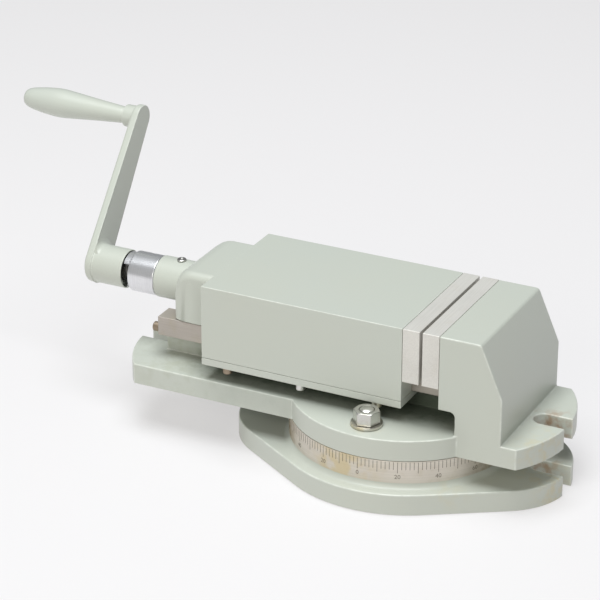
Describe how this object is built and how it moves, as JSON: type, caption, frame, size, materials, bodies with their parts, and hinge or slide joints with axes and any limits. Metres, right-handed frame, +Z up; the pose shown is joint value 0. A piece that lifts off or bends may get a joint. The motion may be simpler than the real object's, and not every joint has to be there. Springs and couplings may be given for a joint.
{
  "type": "machine vise",
  "caption": "Milling machine vise on a swivel base, with a sliding jaw driven by a screw and a push-to-engage crank.",
  "frame": {"origin": "underside of the swivel base, on the swivel axis", "axes": "+X along the screw from the crank towards the fixed jaw, +Z up"},
  "size_m": [0.4516, 0.174, 0.192],
  "materials": {
    "enamel": "satin grey-green machine enamel over cast iron",
    "jaw_steel": "ground and hardened tool steel",
    "bright_steel": "turned steel, slightly stained",
    "chrome": "polished",
    "dark_steel": "black oxide",
    "bronze": "machined bronze"
  },
  "bodies": {
    "base": {"swivel_base": "enamel", "pivot_pin": "bright_steel"},
    "vise_body": {"vise_body": "enamel", "clamp_bolt_front": "dark_steel", "clamp_bolt_rear": "dark_steel", "clamp_washer_front": "bright_steel", "clamp_washer_rear": "bright_steel", "clamp_nut_front": "bright_steel", "clamp_nut_rear": "bright_steel", "jaw_plate_fixed": "jaw_steel", "jaw_screw_fixed_front": "dark_steel", "jaw_screw_fixed_rear": "dark_steel", "lead_nut": "bronze", "nut_screw_a": "dark_steel", "nut_screw_b": "dark_steel", "stop_screw_front": "bronze", "stop_screw_rear": "bronze"},
    "moving_jaw": {"moving_jaw": "enamel", "jaw_plate_moving": "jaw_steel", "jaw_screw_moving_front": "dark_steel", "jaw_screw_moving_rear": "dark_steel", "gib_strip_front": "enamel", "gib_strip_rear": "enamel", "gib_screw_front_1": "dark_steel", "gib_screw_front_2": "dark_steel", "gib_screw_front_3": "dark_steel", "gib_screw_rear_1": "dark_steel", "gib_screw_rear_2": "dark_steel", "gib_screw_rear_3": "dark_steel", "ball_oiler": "chrome", "thrust_washer": "bronze"},
    "lead_screw": {"lead_screw": "bright_steel", "clutch_ring": "chrome", "ring_pin": "dark_steel", "clutch_spring": "dark_steel", "crank_washer": "dark_steel", "crank_screw": "dark_steel"},
    "crank": {"crank": "enamel", "grip_stud": "bright_steel", "grip_snap_ring": "bright_steel"},
    "grip": {"handle_grip": "enamel"}
  },
  "joints": [
    {"name": "swivel", "type": "hinge", "parent": "base", "child": "vise_body", "pos_m": [0, 0, 0.035], "axis": [0, 0, 1], "continuous": true},
    {"name": "jaw_slide", "type": "slide", "parent": "vise_body", "child": "moving_jaw", "axis": [1, 0, 0], "range_m": [-0.078, 0.002]},
    {"name": "screw_turn", "type": "hinge", "parent": "moving_jaw", "child": "lead_screw", "pos_m": [-0.15, 0, 0.0953], "axis": [1, 0, 0], "range_deg": [-5610, 143.5]},
    {"name": "crank_engage", "type": "slide", "parent": "lead_screw", "child": "crank", "axis": [1, 0, 0], "range_m": [0, 0.005], "stiffness_N_per_m": 800, "deforming": ["clutch_spring"]},
    {"name": "grip_spin", "type": "hinge", "parent": "crank", "child": "grip", "pos_m": [-0.29, 0.065, 0.18155], "axis": [1, 0, 0], "continuous": true}
  ],
  "couplings": [
    {"joint": "jaw_slide", "follows": "screw_turn", "m_per_rad": 0.00079577}
  ]
}
